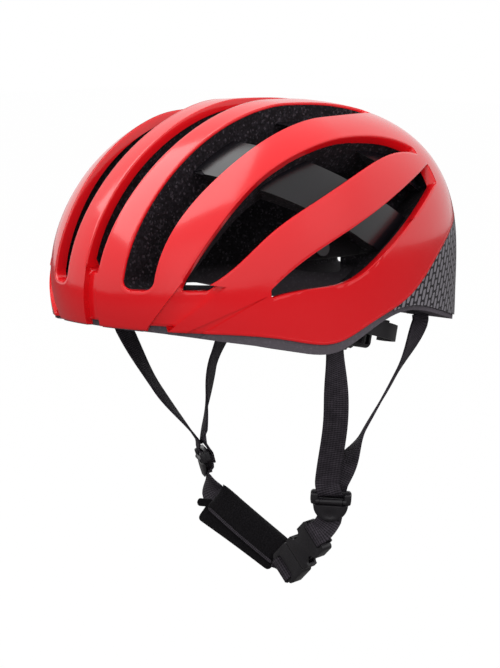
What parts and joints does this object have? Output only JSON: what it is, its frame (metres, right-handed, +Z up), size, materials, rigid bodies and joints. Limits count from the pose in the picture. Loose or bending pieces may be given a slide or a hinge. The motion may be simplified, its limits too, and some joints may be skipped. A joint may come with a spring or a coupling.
{
  "type": "cycling helmet",
  "caption": "Road cycling helmet with long vents, in-mould shell, foam liner, dial-adjusted head cradle and webbing chin straps with a side-release buckle.",
  "frame": {"origin": "centre of the head opening, on the level of the forehead band", "axes": "+Z up out of the crown, the helmet faces -Y, +X is the wearer's left"},
  "size_m": [0.21, 0.2869, 0.2978],
  "materials": {
    "shell_red": "moulded polycarbonate skin, gloss red",
    "shell_black": "moulded polycarbonate skin, gloss black",
    "eps": "expanded polystyrene foam with grey specks",
    "pad": "foam pad in brushed knit",
    "webbing": "woven polyester webbing",
    "black_plastic": "moulded nylon or acetal",
    "knob": "soft-touch grip",
    "steel": "small steel pin"
  },
  "bodies": {
    "helmet": {"top_shell": "shell_red", "rear_shell": "shell_black", "foam_liner": "eps", "front_bridge_panels": "shell_black", "rear_bridge_panels": "shell_black", "front_band": "black_plastic", "brow_pad": "pad", "crown_pads": "pad", "side_pads": "pad", "hook_dots": "black_plastic", "temple_pins": "black_plastic", "strap_anchors": "black_plastic", "left_front_strap": "webbing", "left_rear_strap": "webbing", "left_splitter": "black_plastic", "left_splitter_pin": "black_plastic", "left_chin_strap": "webbing", "buckle_socket": "black_plastic", "right_strap_roots": "webbing"},
    "cradle": {"dial_housing": "black_plastic", "dial_cover": "black_plastic", "neck_pad": "pad"},
    "left_arm": {"left_arm": "black_plastic"},
    "right_arm": {"right_arm": "black_plastic"},
    "dial": {"dial_knob": "knob", "dial_pinion": "black_plastic", "dial_axle": "steel"},
    "right_harness": {"right_front_strap": "webbing", "right_rear_strap": "webbing", "right_splitter": "black_plastic", "right_splitter_pin": "black_plastic", "chin_strap": "webbing", "chin_pad": "pad", "buckle_plug": "black_plastic"},
    "left_lever": {"left_splitter_lever": "black_plastic"},
    "right_lever": {"right_splitter_lever": "black_plastic"},
    "prong_upper": {"buckle_prong_upper": "black_plastic"},
    "prong_lower": {"buckle_prong_lower": "black_plastic"}
  },
  "joints": [
    {"name": "cradle_tilt", "type": "hinge", "parent": "helmet", "child": "cradle", "pos_m": [0, -0.018, 0.01], "axis": [1, 0, 0], "range_deg": [-10, 6]},
    {"name": "dial_turn", "type": "hinge", "parent": "cradle", "child": "dial", "pos_m": [0, 0.08269, -0.01604], "axis": [0, -0.9681, 0.2504], "range_deg": [0, 70]},
    {"name": "left_arm_slide", "type": "slide", "parent": "cradle", "child": "left_arm", "axis": [-1, 0, 0], "range_m": [0, 0.00586]},
    {"name": "right_arm_slide", "type": "slide", "parent": "cradle", "child": "right_arm", "axis": [1, 0, 0], "range_m": [0, 0.00586]},
    {"name": "strap_swing", "type": "hinge", "parent": "helmet", "child": "right_harness", "pos_m": [-0.088, -0.024, -0.007], "axis": [0.1035, 0.9938, 0.0414], "range_deg": [0, 60]},
    {"name": "left_lever_turn", "type": "hinge", "parent": "helmet", "child": "left_lever", "pos_m": [0.06986, -0.00472, -0.10627], "axis": [-0.754, -0.6541, 0.0603], "range_deg": [0, 75]},
    {"name": "right_lever_turn", "type": "hinge", "parent": "right_harness", "child": "right_lever", "pos_m": [-0.04395, 0.00125, -0.0968], "axis": [-0.7818, 0.6214, -0.0507], "range_deg": [0, 75]},
    {"name": "prong_upper_flex", "type": "hinge", "parent": "right_harness", "child": "prong_upper", "pos_m": [0.03881, -0.00387, -0.14037], "axis": [0.0755, 0.9946, 0.0712], "range_deg": [0, 7], "stiffness_Nm_per_rad": 0.02},
    {"name": "prong_lower_flex", "type": "hinge", "parent": "right_harness", "child": "prong_lower", "pos_m": [0.04731, -0.00387, -0.1494], "axis": [-0.0755, -0.9946, -0.0712], "range_deg": [0, 7], "stiffness_Nm_per_rad": 0.02}
  ],
  "couplings": [
    {"joint": "left_arm_slide", "follows": "dial_turn", "m_per_rad": 0.0048},
    {"joint": "right_arm_slide", "follows": "dial_turn", "m_per_rad": 0.0048}
  ]
}
